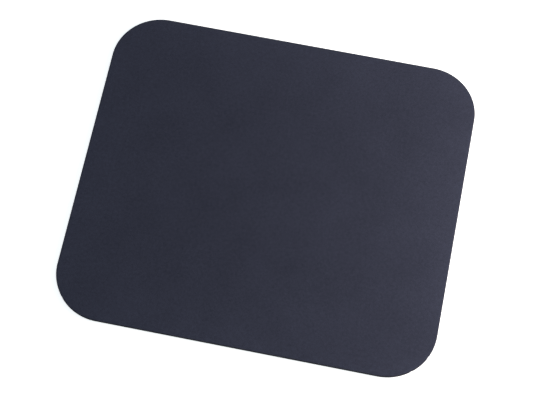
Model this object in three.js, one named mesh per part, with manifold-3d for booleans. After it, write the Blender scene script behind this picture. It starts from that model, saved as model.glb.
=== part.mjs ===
// A cloth mouse pad. A knitted cloth is bonded by a thin film to a sheet of foam rubber, whose underside
// is moulded with wavy grip grooves, and the bonded sheets are cut out with one die.
//
// Millimetres, +Z up, +X along the long side and +Y away from the user. The origin is in the middle of
// the underside.

import * as THREE from 'three';
import { mergeVertices } from 'three/addons/utils/BufferGeometryUtils.js';
import Module from 'manifold-3d';

const wasm = await Module();
wasm.setup();

// The die's outline
const padLength = 250;
const padWidth = 220;
const cornerRadius = 33;
const cornerSteps = 16;

// The foam base. Foam is squeezed while it is cut, so its cut wall ends up hollow.
const foamThickness = 2.4;
const wallHollow = 0.25;
const wallSteps = 6;

// The bonding film
const filmThickness = 0.1;

// The cloth, whose edge the die presses down and rounds over
const clothThickness = 0.5;
const pressedWidth = 1.8;
const pressedDepth = 0.28;
const pressedSteps = 6;

// The grip grooves: V-shaped, side by side along the pad's length, and running out through its ends
const groovePitch = 8;
const grooveWidth = 1.8;
const grooveDepth = 0.5;
const waveLength = 40;
const waveSwing = 3;
const waveSteps = 8;
const edgeLand = 3;

// How far a cutter reaches past what it cuts
const overrun = 1;

// The outline drawn in by an inset, as points that run anticlockwise seen from above.
function outlineAt(inset) {
  const radius = cornerRadius - inset;
  const reachX = padLength / 2 - cornerRadius;
  const reachY = padWidth / 2 - cornerRadius;
  const quarter = Math.PI / 2;
  const centres = [[reachX, reachY], [-reachX, reachY], [-reachX, -reachY], [reachX, -reachY]];
  return centres.flatMap(([x, y], corner) => {
    const arc = new THREE.EllipseCurve(x, y, radius, radius, corner * quarter, (corner + 1) * quarter);
    return arc.getPoints(cornerSteps);
  });
}

// A die-cut sheet. The profile is its edge from the bottom up, as pairs of inset and height.
function cutSheet(profile) {
  const rings = profile.map(([inset, height]) => outlineAt(inset).map(({ x, y }) => [x, y, height]));
  const around = rings[0].length;
  const faces = [];
  for (let ring = 0; ring < rings.length - 1; ring += 1) {
    const [low, high] = [ring * around, (ring + 1) * around];
    for (let i = 0; i < around; i += 1) {
      const next = (i + 1) % around;
      faces.push(low + i, low + next, high + next, low + i, high + next, high + i);
    }
  }
  const top = (rings.length - 1) * around;
  for (const [a, b, c] of THREE.ShapeUtils.triangulateShape(outlineAt(0), [])) {
    faces.push(c, b, a, top + a, top + b, top + c);
  }
  const geometry = new THREE.BufferGeometry();
  geometry.setAttribute('position', new THREE.Float32BufferAttribute(rings.flat(2), 3));
  geometry.setIndex(faces);
  return geometry;
}

// A closed geometry as a solid that can be cut.
function toSolid(geometry) {
  const bare = geometry.clone();
  bare.deleteAttribute('normal');
  bare.deleteAttribute('uv');
  const { attributes, index } = mergeVertices(bare);
  const vertProperties = attributes.position.array;
  const triVerts = new Uint32Array(index.array);
  return new wasm.Manifold(new wasm.Mesh({ numProp: 3, vertProperties, triVerts }));
}

// A solid as a geometry again.
function toGeometry(solid) {
  const { vertProperties, triVerts } = solid.getMesh();
  const geometry = new THREE.BufferGeometry();
  geometry.setAttribute('position', new THREE.BufferAttribute(vertProperties, 3));
  geometry.setIndex(new THREE.BufferAttribute(triVerts, 1));
  return geometry;
}

// The line of one groove's bottom: a wave along X, at a distance from the pad's middle line.
class Wave extends THREE.Curve {
  constructor(offset, waves) {
    super();
    this.offset = offset;
    this.waves = waves;
  }

  getPoint(t, target = new THREE.Vector3()) {
    const phase = 2 * Math.PI * this.waves * (t - 1 / 2);
    const x = this.waves * waveLength * (t - 1 / 2);
    return target.set(x, this.offset + waveSwing * Math.sin(phase), 0);
  }
}

// The solid that cuts one groove. Its section is a V with the point up, and goes straight down from the
// underside.
function grooveCutter(offset) {
  const waves = 2 * Math.ceil((padLength / 2 + overrun) / waveLength);
  const half = grooveWidth / 2;
  const corners = [[-grooveDepth, 0], [0, -half], [overrun, -half], [overrun, half], [0, half]];
  const section = new THREE.Shape(corners.map(([x, y]) => new THREE.Vector2(x, y)));
  const extrudePath = new Wave(offset, waves);
  return toSolid(new THREE.ExtrudeGeometry(section, { steps: waves * waveSteps, extrudePath }));
}

// The foam sheet, flat on top, hollow round its cut wall, and grooved underneath.
function foamGeometry() {
  const profile = [];
  for (let step = 0; step <= wallSteps; step += 1) {
    const share = step / wallSteps;
    profile.push([wallHollow * Math.sin(Math.PI * share), foamThickness * share]);
  }
  let foam = toSolid(cutSheet(profile));
  const roomForLines = padWidth / 2 - edgeLand - grooveWidth / 2 - waveSwing;
  const rows = Math.floor(roomForLines / groovePitch + 1 / 2);
  for (let row = -rows; row < rows; row += 1) {
    foam = foam.subtract(grooveCutter((row + 1 / 2) * groovePitch));
  }
  return toGeometry(foam);
}

function filmGeometry() {
  return cutSheet([[0, 0], [0, filmThickness]]);
}

// The cloth, with a square lower edge and an upper one that falls away in a quarter of an ellipse.
function clothGeometry() {
  const profile = [[0, 0]];
  for (let step = 0; step <= pressedSteps; step += 1) {
    const angle = (Math.PI / 2) * (step / pressedSteps);
    const inset = pressedWidth * (1 - Math.cos(angle));
    profile.push([inset, clothThickness - pressedDepth * (1 - Math.sin(angle))]);
  }
  return cutSheet(profile);
}

const clothMaterial = new THREE.MeshStandardMaterial({ color: 0x363844, roughness: 0.92, metalness: 0 });
const filmMaterial = new THREE.MeshStandardMaterial({ color: 0x2c2d31, roughness: 0.45, metalness: 0 });
const foamMaterial = new THREE.MeshStandardMaterial({ color: 0x1d1e20, roughness: 0.88, metalness: 0 });

// Stacks the sheets from the desk up, each face to face with the one below.
const pad = new THREE.Group();
let base = 0;
for (const [name, geometry, material, thickness] of [
  ['foam_base', foamGeometry(), foamMaterial, foamThickness],
  ['bonding_film', filmGeometry(), filmMaterial, filmThickness],
  ['cloth_surface', clothGeometry(), clothMaterial, clothThickness],
]) {
  const sheet = new THREE.Mesh(geometry, material);
  sheet.name = name;
  sheet.position.z = base;
  pad.add(sheet);
  // The next sheet starts at this one's top, rounded to the 32 bits that its mesh holds.
  base = Math.fround(Math.fround(thickness) + base);
}

export default pad;
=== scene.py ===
# A cloth mouse pad lying on a white table. A knitted cloth is bonded by a thin film to foam rubber with a
# wavy grip underneath, and the bonded sheets are cut out with one die. Metres, +Z up, +X along the long side
# and +Y away from the user, with the origin in the middle of the underside.

import math

import bmesh
import bpy
import numpy as np
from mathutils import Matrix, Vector, noise


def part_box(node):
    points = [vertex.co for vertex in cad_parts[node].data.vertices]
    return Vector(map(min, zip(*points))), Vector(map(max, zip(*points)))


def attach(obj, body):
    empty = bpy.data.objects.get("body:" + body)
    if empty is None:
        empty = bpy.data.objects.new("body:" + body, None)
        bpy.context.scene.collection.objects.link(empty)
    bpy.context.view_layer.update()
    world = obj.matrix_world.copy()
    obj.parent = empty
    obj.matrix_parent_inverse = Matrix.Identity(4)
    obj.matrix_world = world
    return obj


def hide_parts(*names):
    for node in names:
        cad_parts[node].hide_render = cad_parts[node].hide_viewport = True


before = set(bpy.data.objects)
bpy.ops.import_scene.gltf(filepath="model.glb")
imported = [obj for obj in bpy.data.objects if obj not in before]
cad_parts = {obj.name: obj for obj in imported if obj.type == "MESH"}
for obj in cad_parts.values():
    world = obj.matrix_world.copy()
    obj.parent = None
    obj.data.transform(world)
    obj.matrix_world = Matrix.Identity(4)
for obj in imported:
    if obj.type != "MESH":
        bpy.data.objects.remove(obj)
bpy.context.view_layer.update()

foam_low, foam_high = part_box("foam_base")
cloth_low, cloth_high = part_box("cloth_surface")

# The die's outline
HALF_LENGTH = cloth_high.x
HALF_WIDTH = cloth_high.y
CORNER_RADIUS = 0.033

# The angle between faces above which their edge is drawn sharp
CREASE = math.radians(40)

# The cloth's edge, which the die presses down and rounds over
PRESSED_WIDTH = 0.0018
PRESSED_DEPTH = 0.00028
EDGE_RINGS = 9

# The cloth's face, as rings of squares. Each side of a ring has this many points more than the last one's.
FACE_RINGS = 118
SIDE_GROWTH = 2
RIM_COUNT = 4 * SIDE_GROWTH * FACE_RINGS

# How high the cloth's face stands above its rim, and over which width it falls off to it
CROWN_HEIGHT = 0.0003
CROWN_WIDTH = 0.016

# The soft unevenness of a sheet that lies loose, and how far inside its pressed edge it has faded in
UNEVEN_HEIGHT = 0.00007
UNEVEN_PITCH = 0.034
UNEVEN_OCTAVES = 3
UNEVEN_FADE = 0.004

# The foam's cut wall, hollow where the squeezed foam has sprung back, and uneven but for its ends
WALL_HOLLOW = 0.00025
WALL_RINGS = 10
WALL_ROUGH = 0.00004
WALL_ROUGH_PITCH = 0.0021
WALL_EVEN_BELOW = WALL_HOLLOW / 4

# The grip grooves under the foam, side by side, with a plain border beyond them
GROOVE_PITCH = 0.008
GROOVE_WIDTH = 0.0018
GROOVE_DEPTH = 0.0005
GROOVE_STEPS = 8
WAVE_LENGTH = 0.040
WAVE_SWING = 0.003
WAVE_STEPS = 24
EDGE_LAND = 0.003

# How far the uncut foam reaches past the die, and how near to each other the cut's corners are merged
OVERRUN = 0.001
WELD = 0.000005

# Each sheet's map, in shares of its width: the side that shows, above it a strip for each side of the cut
# edge, and beside the two shorter strips a small copy of the hidden side. Strips hold the steep faces, whose
# normals have an upright share below the limit. A rise is how much taller than to scale a strip is drawn.
MAP_MARGIN = 0.003
STRIP_START = 0.895
STRIP_STEP = 0.022
STEEP_LIMIT = 0.4
HIDDEN_CORNER = (0.915, 0.937)
HIDDEN_SCALE = 0.066
CLOTH_EDGE_RISE = 8.0
FOAM_EDGE_RISE = 1.6

# Looks. The pad's colours are in 0 to 255 steps, and those of the table and the light in shares of white.
# Pitches are in metres, and a relief is a height in metres and how strongly it shows. Noise lies mostly in
# its middle range, and seldom outside the wide one.
MIDDLE_RANGE = (0.35, 0.65)
WIDE_RANGE = (0.3, 0.7)
WHITE = (1.0, 1.0, 1.0, 1.0)

# The knitted stitches. A leg's slant and the wander of rows and columns are in stitches, and the powers make
# yarns round and full.
STITCH_WIDTH = 0.000737
STITCH_HEIGHT = 0.00060
STITCH_SLANT = 2.2
STITCH_WANDER = 0.8
WANDER_PITCH = 0.02
LEG_POWER = 0.6
ROW_POWER = 0.7
STITCH_RELIEF = (0.00012, 0.8)

# The cloth's yarn, with its flecks and clouds, and the fuzz on it, painted darker in the stitch gaps as shade
YARN_IN_PAINTED_SHADE = (38, 39, 50)
YARN_RAISED = (68, 70, 85)
FLECK_PITCH = 0.0018
FLECK_TINTS = (0.89, 1.11)
CLOUD_PITCH = 0.030
CLOUD_TINTS = (0.95, 1.05)
CLOTH_ROUGHNESS = (0.58, 0.72)
FUZZ_PITCH = 0.00022
FUZZ_RELIEF = (0.00003, 0.5)
SHEEN = 0.06
SHEEN_ROUGHNESS = 0.45
SHEEN_COLOUR = (236, 236, 240)

# Painted glare: the cloth is painted paler toward the cut edge. It fades to 1/e at this distance from it.
PAINTED_GLARE_REACH = 0.030
PAINTED_GLARE_TINT = 1.18

# The bonding film, with the drag lines of its cut
FILM_DARK = (36, 37, 42)
FILM_LIGHT = (50, 51, 57)
FILM_ROUGHNESS = (0.35, 0.6)
FILM_SHINE = 0.35
DRAG_PITCH = 0.0009
DRAG_RELIEF = (0.00003, 0.6)

# The foam's cut wall. Pores have a pitch, and their least and largest radius as shares of it. The wall of a
# pore slopes within these shares of its radius.
CUT_DARK = (38, 38, 41)
CUT_LIGHT = (54, 54, 57)
CUT_PITCH = 0.0035
CUT_TINTS = (0.85, 1.15)
CUT_ROUGHNESS = (0.98, 0.78)
CUT_SHINE = 0.25
CRUMB_PITCH = 0.00016
CRUMB_RELIEF = (0.00003, 0.6)
# The pores' dark colour is painted shade inside them.
PORE_PAINTED_SHADE = (15, 15, 16)
FINE_PORES = (0.00024, 0.06, 0.45)
LARGE_PORES = (0.00055, 0.08, 0.42)
PORE_SLOPE = (0.6, 1.1)
PORE_RELIEF = (0.00012, 0.9)

# The foam's moulded skin, with the print of its press cloth, whose hollows are painted darker as shade
SKIN_DARK = (26, 27, 28)
SKIN_LIGHT = (35, 36, 38)
SKIN_PITCH = 0.0012
SKIN_RELIEF = (0.00004, 0.6)
SKIN_ROUGHNESS = (0.62, 0.78)
SKIN_SHINE = 0.35
SMUDGE_PITCH = 0.022
SMUDGE_TINTS = (0.9, 1.12)
PRESS_CLOTH_PITCH = 0.0008
PRESS_CLOTH_SHADE_TINTS = (0.86, 1.1)
PRESS_CLOTH_RELIEF = (0.00010, 0.9)

# The table. To the camera it glows and shows a share of the light on it, which adds up to white outside the
# pad's shadow.
TABLE_RADIUS = 2.5
TABLE_SIDES = 96
TABLE_DROP = 0.00002
TABLE_PITCH = 0.08
TABLE_DARK = (0.80, 0.80, 0.80, 1.0)
TABLE_LIGHT = (0.82, 0.82, 0.82, 1.0)
TABLE_GLOW = 0.75
TABLE_SHOWN = (0.95, 0.95, 0.95, 1.0)

# The room's light on things, and the lamp on the right, which is warmer
ROOM_LIGHT = (0.267, 0.321, 0.359, 1.0)
LAMP_PLACE = (0.45, 0.05, 0.25)
LAMP_SIZE = 0.3
LAMP_POWER = 3.31
LAMP_COLOUR = (1.0, 0.925, 0.87)

# The camera, by the direction from the pad to it
CAMERA_AZIMUTH = math.radians(11.465)
CAMERA_ELEVATION = math.radians(68.619)
CAMERA_DISTANCE = 1.0786
CAMERA_AIM = Vector((-0.00081, -0.00606, 0.0))
CAMERA_LENS = 110.13
SENSOR_WIDTH = 36.0


def linear(steps):
    """A colour given in 0 to 255 steps, as the light it stands for."""
    shares = (step / 255 for step in steps)
    return (*(((s + 0.055) / 1.055) ** 2.4 if s > 0.04045 else s / 12.92 for s in shares), 1.0)


# The outline

def edge_marks(count):
    """Lengths along the cut edge for a ring of points, a quarter of them between two corners' middles."""
    arc = CORNER_RADIUS * math.pi / 2
    long_side = 2 * (HALF_LENGTH - CORNER_RADIUS)
    short_side = 2 * (HALF_WIDTH - CORNER_RADIUS)
    start = arc / 2
    marks = []
    for side in (long_side, short_side, long_side, short_side):
        marks.append(start + (arc + side) * np.arange(count // 4) / (count // 4))
        start += arc + side
    return np.concatenate(marks)


def edge_points(marks, inset=0.0):
    """Points of the outline at these lengths along the cut edge, drawn in by an inset."""
    reach_x, reach_y = HALF_LENGTH - CORNER_RADIUS, HALF_WIDTH - CORNER_RADIUS
    arc = CORNER_RADIUS * math.pi / 2
    corners = [(reach_x, reach_y), (-reach_x, reach_y), (-reach_x, -reach_y), (reach_x, -reach_y)]
    lengths, centres, angles = [], [], []
    length = 0.0
    for i, corner in enumerate(corners):
        lengths += [length, length + arc]
        centres += [corner, corner]
        angles += [i * math.pi / 2, (i + 1) * math.pi / 2]
        length += arc + math.dist(corner, corners[(i + 1) % 4])
    lengths.append(length)
    centres.append(corners[0])
    angles.append(2 * math.pi)
    centres = np.array(centres)
    at = np.mod(marks, length)
    angle = np.interp(at, lengths, angles)
    radius = CORNER_RADIUS - inset
    x = np.interp(at, lengths, centres[:, 0]) + radius * np.cos(angle)
    y = np.interp(at, lengths, centres[:, 1]) + radius * np.sin(angle)
    return np.stack([x, y], axis=1)


def edge_distance(x, y):
    """How far a place on the pad is from the cut edge."""
    past_x, past_y = abs(x) - (HALF_LENGTH - CORNER_RADIUS), abs(y) - (HALF_WIDTH - CORNER_RADIUS)
    outside = math.hypot(max(past_x, 0.0), max(past_y, 0.0))
    return CORNER_RADIUS - outside - min(max(past_x, past_y), 0.0)


def band(first, second, count):
    """Faces between two rings of equally many points, the second further up or in."""
    steps = [(i, (i + 1) % count) for i in range(count)]
    return [(first + i, first + after, second + after, second + i) for i, after in steps]


# Making objects

def make_piece(name, vertices, faces, materials):
    """A smooth-shaded mesh object in the scene, with its creases sharp."""
    mesh = bpy.data.meshes.new(name)
    mesh.from_pydata(vertices, [], faces)
    for material in materials:
        mesh.materials.append(material)
    mesh.validate()
    piece = bpy.data.objects.new(name, mesh)
    bpy.context.scene.collection.objects.link(piece)
    mesh.shade_smooth()
    mesh.set_sharp_from_angle(angle=CREASE)
    return piece


def values_of(items, name, kind, width):
    """A value of each item, as the rows of an array."""
    values = np.empty(width * len(items), kind)
    items.foreach_get(name, values)
    return values.reshape(-1, width)


def lay_flat(mesh, shown, rise):
    """Gives a sheet its map. The shown side is 1 for the upper or -1 for the lower."""
    corners = values_of(mesh.loops, "vertex_index", np.int32, 1)[:, 0]
    counts = values_of(mesh.polygons, "loop_total", np.int32, 1)[:, 0]
    normals = values_of(mesh.polygons, "normal", np.float32, 3).repeat(counts, axis=0)
    places = values_of(mesh.vertices, "co", np.float32, 3)[corners] / (2 * HALF_LENGTH)
    room = 1 - 2 * MAP_MARGIN
    from_corner = places[:, :2] + (1 / 2, HALF_WIDTH / (2 * HALF_LENGTH))
    shown_at = MAP_MARGIN + room * from_corner
    hidden_at = HIDDEN_CORNER + HIDDEN_SCALE * from_corner
    flat = np.where(normals[:, 2:] * shown > 0, shown_at, hidden_at)
    steep = np.abs(normals[:, 2]) < STEEP_LIMIT
    at_end = np.abs(normals[:, 0]) > np.abs(normals[:, 1])
    side = 2 * at_end + (np.where(at_end, normals[:, 0], normals[:, 1]) > 0)
    along = MAP_MARGIN + room * np.where(at_end, from_corner[:, 1], from_corner[:, 0])
    up = STRIP_START + STRIP_STEP * side + rise * (places[:, 2] - places[:, 2].min())
    flat[steep] = np.stack([along, up], axis=1)[steep]
    mesh.uv_layers.new(name="OFBake").data.foreach_set("uv", flat.astype(np.float32).ravel())


class Shader:
    """The nodes of a material or the world, added one by one and linked by their outputs."""

    def __init__(self, owner, kind="Material"):
        self.owner = owner
        owner.use_nodes = True
        self.tree = owner.node_tree
        self.tree.nodes.clear()
        self.output = self.tree.nodes.new("ShaderNodeOutput" + kind)

    def put(self, value, socket):
        """Links an output to a socket, or gives the socket a value."""
        if isinstance(value, bpy.types.NodeSocket):
            self.tree.links.new(value, socket)
        else:
            socket.default_value = value

    def add(self, kind, inputs, **settings):
        node = self.tree.nodes.new("ShaderNode" + kind)
        for name, value in settings.items():
            setattr(node, name, value)
        for name, value in inputs.items():
            self.put(value, node.inputs[name])
        return node

    def place(self):
        """The place on the object, in metres."""
        return self.add("TexCoord", {}).outputs["Object"]

    def math(self, operation, *values):
        return self.add("Math", dict(enumerate(values)), operation=operation).outputs[0]

    def noise(self, place, pitch, detail=2.0, roughness=0.5):
        """Noise from 0 to 1 whose blobs are about pitch metres apart."""
        inputs = {"Vector": place, "Scale": 1 / pitch, "Detail": detail, "Roughness": roughness}
        return self.add("TexNoise", inputs).outputs["Fac"]

    def ripple(self, length, pitch):
        """A sine wave of this pitch along a length."""
        return self.math("SINE", self.math("MULTIPLY", length, 2 * math.pi / pitch))

    def spread(self, value, low, high, from_low=0.0, from_high=1.0):
        """A value brought from one range to another, and held inside it."""
        inputs = {"Value": value, "From Min": from_low, "From Max": from_high, "To Min": low, "To Max": high}
        return self.add("MapRange", inputs).outputs["Result"]

    def mix(self, share, first, second):
        """The first colour where the share is 0, and the second where it is 1."""
        node = self.add("Mix", {"Factor": share}, data_type="RGBA")
        for name, value in (("A", first), ("B", second)):
            self.put(value, next(s for s in node.inputs if s.name == name and s.type == "RGBA"))
        return next(s for s in node.outputs if s.type == "RGBA")

    def pores(self, place, pitch, least, most):
        """0 in pores and 1 between them. Their radii run from least to most of their pitch, each by chance."""
        cell = self.add("TexVoronoi", {"Vector": place, "Scale": 1 / pitch}).outputs
        chance = self.add("SeparateColor", {"Color": cell["Color"]}).outputs["Red"]
        radius = self.spread(self.math("POWER", chance, 2.0), least, most)
        return self.spread(self.math("DIVIDE", cell["Distance"], radius), 0.0, 1.0, *PORE_SLOPE)

    def tinted(self, colour, factor):
        return self.add("VectorMath", {0: colour, "Scale": factor}, operation="SCALE").outputs["Vector"]

    def bump(self, height, relief, normal=None):
        """A relief of this height, on top of another where its normal is given."""
        depth, strength = relief
        inputs = {"Height": height, "Distance": depth, "Strength": strength}
        if normal is not None:
            inputs["Normal"] = normal
        return self.add("Bump", inputs).outputs["Normal"]

    def end(self, surface):
        """Ends the nodes with a surface or background."""
        self.tree.links.new(surface.outputs[0], self.output.inputs["Surface"])
        return self.owner

    def finish(self, **inputs):
        """Ends a material with one principled shader."""
        named = {name.replace("_", " "): value for name, value in inputs.items()}
        return self.end(self.add("BsdfPrincipled", named))


# Materials

def knit_material():
    """Dyed polyester jersey: rows of V-shaped stitches, flecked by uneven yarn, with a soft sheen. The gaps
    between stitches are painted darker as shade, and the cut edge is painted paler as glare.
    """
    s = Shader(bpy.data.materials.new("knitted_cloth"))
    place = s.place()
    axes = s.add("SeparateXYZ", {"Vector": place}).outputs
    wander = s.noise(place, WANDER_PITCH, detail=1.0)
    sideways = s.spread(wander, -STITCH_WANDER, STITCH_WANDER)
    lengthways = s.spread(wander, STITCH_WANDER, -STITCH_WANDER)
    wale = s.math("ADD", s.math("DIVIDE", axes["X"], STITCH_WIDTH), sideways)
    course = s.math("ADD", s.math("DIVIDE", axes["Y"], STITCH_HEIGHT), lengthways)
    from_middle = s.math("ABSOLUTE", s.math("SUBTRACT", s.math("FRACT", wale), 0.5))
    leg = s.math("POWER", s.ripple(from_middle, 1), LEG_POWER)
    lean = s.math("MULTIPLY", from_middle, STITCH_SLANT)
    slanted = s.math("FRACT", s.math("SUBTRACT", course, lean))
    row = s.math("POWER", s.ripple(slanted, 2), ROW_POWER)
    stitch = s.math("MULTIPLY", leg, row)
    fleck = s.noise(place, FLECK_PITCH, detail=3.0, roughness=0.65)
    cloud = s.noise(place, CLOUD_PITCH)
    # Painted glare: the cloth's colour is raised toward the cut edge by this share.
    painted_glare = s.add("Attribute", {}, attribute_name="painted_glare").outputs["Fac"]
    fleck_tint = s.spread(fleck, *FLECK_TINTS, *WIDE_RANGE)
    cloud_tint = s.spread(cloud, *CLOUD_TINTS, *WIDE_RANGE)
    uneven = s.math("MULTIPLY", fleck_tint, cloud_tint)
    # Painted shade: the stitch mask paints the yarn darker in the gaps between stitches.
    yarn = s.mix(stitch, linear(YARN_IN_PAINTED_SHADE), linear(YARN_RAISED))
    return s.finish(
        Base_Color=s.tinted(yarn, s.math("MULTIPLY", uneven, s.spread(painted_glare, 1.0, PAINTED_GLARE_TINT))),
        Roughness=s.spread(fleck, *CLOTH_ROUGHNESS, *WIDE_RANGE),
        Specular_IOR_Level=0.0,
        Sheen_Weight=SHEEN,
        Sheen_Roughness=SHEEN_ROUGHNESS,
        Sheen_Tint=linear(SHEEN_COLOUR),
        Normal=s.bump(s.noise(place, FUZZ_PITCH), FUZZ_RELIEF, s.bump(stitch, STITCH_RELIEF)),
    )


def film_material():
    """Hot-melt film: smooth, darkened by the cloth's dye, with the cut's fine drag lines."""
    s = Shader(bpy.data.materials.new("hot_melt_film"))
    drag = s.noise(s.place(), DRAG_PITCH)
    return s.finish(
        Base_Color=s.mix(s.spread(drag, 0.0, 1.0, *WIDE_RANGE), linear(FILM_DARK), linear(FILM_LIGHT)),
        Roughness=s.spread(drag, *FILM_ROUGHNESS),
        Specular_IOR_Level=FILM_SHINE,
        Normal=s.bump(drag, DRAG_RELIEF),
    )


def foam_cut_material():
    """The foam's cut wall: tiny opened cells, painted darker inside as shade, with a faint bloom between them.
    """
    s = Shader(bpy.data.materials.new("foam_cut"))
    place = s.place()
    crumb = s.noise(place, CRUMB_PITCH)
    grain = s.noise(place, CUT_PITCH, detail=4.0)
    pit = s.math("MULTIPLY", s.pores(place, *FINE_PORES), s.pores(place, *LARGE_PORES))
    rubber = s.mix(s.spread(crumb, 0.0, 1.0, *MIDDLE_RANGE), linear(CUT_DARK), linear(CUT_LIGHT))
    # Painted shade: the pores are painted dark inside.
    colour = s.mix(pit, linear(PORE_PAINTED_SHADE), rubber)
    return s.finish(
        Base_Color=s.tinted(colour, s.spread(grain, *CUT_TINTS, *WIDE_RANGE)),
        Roughness=s.spread(pit, *CUT_ROUGHNESS),
        Specular_IOR_Level=CUT_SHINE,
        Normal=s.bump(crumb, CRUMB_RELIEF, s.bump(pit, PORE_RELIEF)),
    )


def foam_skin_material():
    """The foam's moulded underside: a skinned rubber face with the fine grain of its press cloth. The
    cloth's hollows are painted darker, as painted shade.
    """
    s = Shader(bpy.data.materials.new("foam_skin"))
    place = s.place()
    axes = s.add("SeparateXYZ", {"Vector": place}).outputs
    weft, warp = s.ripple(axes["X"], PRESS_CLOTH_PITCH), s.ripple(axes["Y"], PRESS_CLOTH_PITCH)
    weave = s.spread(s.math("MULTIPLY", weft, warp), 0.0, 1.0, -1.0, 1.0)
    grain = s.noise(place, SKIN_PITCH, detail=4.0)
    smudge = s.noise(place, SMUDGE_PITCH, detail=3.0)
    colour = s.mix(s.spread(grain, 0.0, 1.0, *WIDE_RANGE), linear(SKIN_DARK), linear(SKIN_LIGHT))
    smudge_tint = s.spread(smudge, *SMUDGE_TINTS, *WIDE_RANGE)
    # Painted shade: the press cloth's hollows are painted darker in the colour below.
    return s.finish(
        Base_Color=s.tinted(colour, s.math("MULTIPLY", smudge_tint, s.spread(weave, *PRESS_CLOTH_SHADE_TINTS))),
        Roughness=s.spread(smudge, *SKIN_ROUGHNESS, *WIDE_RANGE),
        Specular_IOR_Level=SKIN_SHINE,
        Normal=s.bump(grain, SKIN_RELIEF, s.bump(weave, PRESS_CLOTH_RELIEF)),
    )


# The cloth

def crown(distance):
    """How far the cloth stands above its rim at a distance from the cut edge."""
    return CROWN_HEIGHT * (1 - max(1 - distance / CROWN_WIDTH, 0.0) ** 2)


def painted_glare_at(distance):
    """How strongly the cloth is painted paler as glare at a distance from the cut edge, where it is 1."""
    return math.exp(-distance / PAINTED_GLARE_REACH)


def face_height(x, y):
    """The height of the cloth's face at a place."""
    distance = edge_distance(x, y)
    fade = min(max((distance - PRESSED_WIDTH) / UNEVEN_FADE, 0.0), 1.0)
    uneven = noise.fractal(Vector((x, y, 0.0)) / UNEVEN_PITCH, 1.0, 2.0, UNEVEN_OCTAVES)
    return cloth_high.z + crown(distance) + fade * (UNEVEN_HEIGHT * uneven)


def make_face():
    """The cloth's face: a net of squares in rings, which the outline bends round. Its last ring is its rim."""
    places = [(0.0, 0.0)]
    faces = []
    inner = 0
    for ring in range(1, FACE_RINGS + 1):
        outer = len(places)
        inner_side, outer_side = SIDE_GROWTH * (ring - 1), SIDE_GROWTH * ring
        inner_count, outer_count = max(4 * inner_side, 1), 4 * outer_side
        points = edge_points(edge_marks(outer_count), PRESSED_WIDTH) * (ring / FACE_RINGS)
        places += [tuple(point) for point in points]
        for side in range(4):
            start, corner = side * inner_side, outer + side * outer_side
            before = outer + (side * outer_side - 1) % outer_count
            faces.append((inner + start % inner_count, before, corner, corner + 1))
            for i in range(inner_side):
                near, far = inner + start + i, corner + i + 1
                after = inner + (start + i + 1) % inner_count
                faces.append((after, near, far, far + 1))
        inner = outer
    return [(x, y, face_height(x, y)) for x, y in places], faces


def make_cloth(material):
    """The cloth as one closed sheet. How strongly each point is painted with glare is kept with it, for the
    looks.
    """
    vertices, faces = make_face()
    painted_glare = [painted_glare_at(edge_distance(x, y)) for x, y, _ in vertices]
    marks = edge_marks(RIM_COUNT)
    last = len(vertices) - RIM_COUNT
    for ring in range(1, EDGE_RINGS + 1):
        angle = math.pi / 2 * ring / EDGE_RINGS
        inset = PRESSED_WIDTH * (1 - math.sin(angle))
        height = cloth_high.z + crown(inset) - PRESSED_DEPTH * (1 - math.cos(angle))
        start = len(vertices)
        vertices += [(x, y, height) for x, y in edge_points(marks, inset)]
        painted_glare += [painted_glare_at(inset)] * RIM_COUNT
        faces += band(start, last, RIM_COUNT)
        last = start
    start = len(vertices)
    vertices += [(x, y, cloth_low.z) for x, y in edge_points(marks)]
    painted_glare += [1.0] * RIM_COUNT
    faces += band(start, last, RIM_COUNT)
    faces.append(tuple(start + i for i in reversed(range(RIM_COUNT))))
    cloth = make_piece("knitted_cloth", vertices, faces, [material])
    cloth.data.attributes.new("painted_glare", "FLOAT", "POINT").data.foreach_set("value", painted_glare)
    lay_flat(cloth.data, 1, CLOTH_EDGE_RISE)
    return cloth


# The foam

def groove_lines():
    """Distances of the grooves' middle lines from the pad's own, as many as fit between the plain borders."""
    room = HALF_WIDTH - EDGE_LAND - GROOVE_WIDTH / 2 - WAVE_SWING
    rows = math.floor(room / GROOVE_PITCH + 1 / 2)
    return [(row + 1 / 2) * GROOVE_PITCH for row in range(-rows, rows)]


def make_uncut_foam():
    """A slab of moulded foam, larger than the pad, with every groove's round bottom in its underside."""
    columns = 2 * math.ceil((HALF_LENGTH + OVERRUN) / WAVE_LENGTH * WAVE_STEPS) + 1
    end_x, end_y = HALF_LENGTH + OVERRUN, HALF_WIDTH + OVERRUN
    x = np.linspace(-end_x, end_x, columns)
    wave = WAVE_SWING * np.sin(2 * math.pi * x / WAVE_LENGTH)
    lean = np.hypot(1.0, WAVE_SWING * 2 * math.pi / WAVE_LENGTH * np.cos(2 * math.pi * x / WAVE_LENGTH))
    rows = [(np.full(columns, -end_y), 0.0)]
    for line in groove_lines():
        for step in range(GROOVE_STEPS + 1):
            share = 2 * step / GROOVE_STEPS - 1
            depth = GROOVE_DEPTH * (1 + math.cos(math.pi * share)) / 2
            rows.append((line + wave + lean * share * GROOVE_WIDTH / 2, depth))
    rows.append((np.full(columns, end_y), 0.0))
    vertices = [(*place, depth) for y, depth in rows for place in zip(x, y, strict=True)]
    faces = []
    for row in range(len(rows) - 1):
        for i in range(row * columns, (row + 1) * columns - 1):
            faces.append((i, i + columns, i + columns + 1, i + 1))
    top_row = (len(rows) - 1) * columns
    loop = list(range(columns))
    loop += [row * columns + columns - 1 for row in range(1, len(rows))]
    loop += [top_row + i for i in reversed(range(columns - 1))]
    loop += [row * columns for row in reversed(range(1, len(rows) - 1))]
    start, count = len(vertices), len(loop)
    vertices += [(*vertices[i][:2], foam_high.z + OVERRUN) for i in loop]
    for i, after in enumerate(loop[1:] + loop[:1]):
        faces.append((loop[i], after, start + (i + 1) % count, start + i))
    faces.append(tuple(start + i for i in range(count)))
    return vertices, faces


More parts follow.
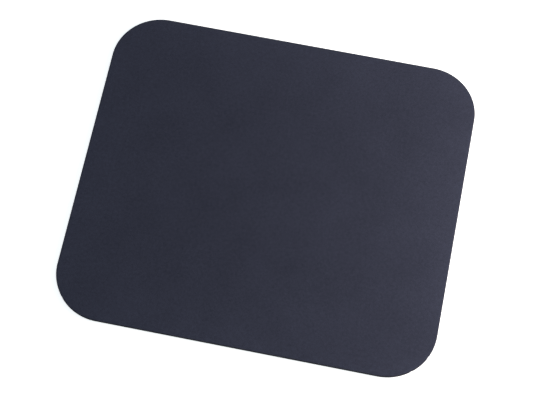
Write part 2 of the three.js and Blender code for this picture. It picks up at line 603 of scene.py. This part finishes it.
def make_die_cut():
    """The body that the die leaves of the slab: the outline, with a wall that is hollow at half height."""
    marks = edge_marks(RIM_COUNT)
    vertices, faces = [], []
    levels = [(0.0, foam_low.z - OVERRUN)]
    for ring in range(WALL_RINGS + 1):
        share = ring / WALL_RINGS
        height = foam_low.z + share * (foam_high.z - foam_low.z)
        levels.append((WALL_HOLLOW * math.sin(math.pi * share), height))
    for i, (inset, height) in enumerate(levels):
        points = edge_points(marks, inset)
        if inset > WALL_EVEN_BELOW:
            rough = [noise.noise(Vector((x, y, height)) / WALL_ROUGH_PITCH) for x, y in points]
            points = points * (1 - WALL_ROUGH * np.array(rough)[:, None] / HALF_WIDTH)
        vertices += [(x, y, height) for x, y in points]
        if i:
            faces += band((i - 1) * RIM_COUNT, i * RIM_COUNT, RIM_COUNT)
    faces.append(tuple(reversed(range(RIM_COUNT))))
    faces.append(tuple(len(vertices) - RIM_COUNT + i for i in range(RIM_COUNT)))
    return vertices, faces


def weld(mesh):
    """Merges the nearest points. The cut leaves their order to chance, so they are sorted by place first."""
    welded = bmesh.new()
    welded.from_mesh(mesh)
    for rank, vertex in enumerate(sorted(welded.verts, key=lambda vertex: vertex.co[:])):
        vertex.index = rank
    welded.verts.sort()
    bmesh.ops.remove_doubles(welded, verts=welded.verts, dist=WELD)
    welded.to_mesh(mesh)
    welded.free()


def make_foam(cut_material, skin_material):
    """The foam rubber, cut out of its slab. Its underside keeps the moulded skin."""
    foam = make_piece("foam_rubber", *make_uncut_foam(), [skin_material])
    die = make_piece("die", *make_die_cut(), [cut_material])
    cut = foam.modifiers.new("cut", "BOOLEAN")
    cut.operation = "INTERSECT"
    cut.solver = "EXACT"
    cut.material_mode = "TRANSFER"
    cut.object = die
    evaluated = foam.evaluated_get(bpy.context.evaluated_depsgraph_get())
    mesh = bpy.data.meshes.new_from_object(evaluated)
    foam.modifiers.clear()
    foam.data = mesh
    bpy.data.objects.remove(die)
    weld(mesh)
    mesh.shade_smooth()
    mesh.set_sharp_from_angle(angle=CREASE)
    lay_flat(mesh, -1, FOAM_EDGE_RISE)
    return foam


# The table, the light and the camera

def make_table():
    """A white table top. The camera sees it white but for the pad's shadow, and other things see it plain."""
    s = Shader(bpy.data.materials.new("white_table"))
    seen = s.add("LightPath", {}).outputs["Is Camera Ray"]
    grain = s.noise(s.place(), TABLE_PITCH)
    plain = s.add("BsdfDiffuse", {"Color": s.mix(grain, TABLE_DARK, TABLE_LIGHT)})
    lit = s.add("BsdfDiffuse", {"Color": TABLE_SHOWN})
    glow = s.add("Emission", {"Color": WHITE, "Strength": TABLE_GLOW})
    shown = s.add("AddShader", {0: lit.outputs[0], 1: glow.outputs[0]})
    material = s.end(s.add("MixShader", {0: seen, 1: plain.outputs[0], 2: shown.outputs[0]}))
    turns = [2 * math.pi * i / TABLE_SIDES for i in range(TABLE_SIDES)]
    height = foam_low.z - TABLE_DROP
    ring = [(TABLE_RADIUS * math.cos(turn), TABLE_RADIUS * math.sin(turn), height) for turn in turns]
    make_piece("table", ring, [tuple(range(TABLE_SIDES))], [material])


def make_world():
    """A white room, as the camera and shiny things see it. It lights the rest at a lower level."""
    world = bpy.data.worlds.new("room")
    bpy.context.scene.world = world
    s = Shader(world, "World")
    path = s.add("LightPath", {}).outputs
    seen = s.math("ADD", path["Is Camera Ray"], path["Is Glossy Ray"])
    seen_or_through = s.math("ADD", seen, path["Is Transmission Ray"])
    s.end(s.add("Background", {"Color": s.mix(seen_or_through, ROOM_LIGHT, WHITE)}))


def make_softbox():
    """A square soft lamp on the right that faces the pad."""
    light = bpy.data.lights.new("softbox_right", "AREA")
    light.shape = "SQUARE"
    light.size = LAMP_SIZE
    light.energy = LAMP_POWER
    light.color = LAMP_COLOUR
    lamp = bpy.data.objects.new("softbox_right", light)
    lamp.location = LAMP_PLACE
    lamp.rotation_euler = (-Vector(LAMP_PLACE)).to_track_quat("-Z", "Y").to_euler()
    bpy.context.scene.collection.objects.link(lamp)


def make_camera():
    level = math.cos(CAMERA_ELEVATION)
    sideways, ahead = math.sin(CAMERA_AZIMUTH), math.cos(CAMERA_AZIMUTH)
    back = Vector((sideways * level, -ahead * level, math.sin(CAMERA_ELEVATION)))
    data = bpy.data.cameras.new("camera")
    data.sensor_width = SENSOR_WIDTH
    data.lens = CAMERA_LENS
    camera = bpy.data.objects.new("camera", data)
    camera.location = CAMERA_AIM + CAMERA_DISTANCE * back
    camera.rotation_euler = (-back).to_track_quat("-Z", "Y").to_euler()
    bpy.context.scene.collection.objects.link(camera)
    bpy.context.scene.camera = camera


make_camera()
make_table()
make_world()
make_softbox()
bpy.context.scene.view_settings.view_transform = "Standard"

cloth = make_cloth(knit_material())
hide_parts("cloth_surface")
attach(cloth, "root")

foam = make_foam(foam_cut_material(), foam_skin_material())
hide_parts("foam_base")
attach(foam, "root")

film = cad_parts["bonding_film"]
film.data.materials.clear()
film.data.materials.append(film_material())
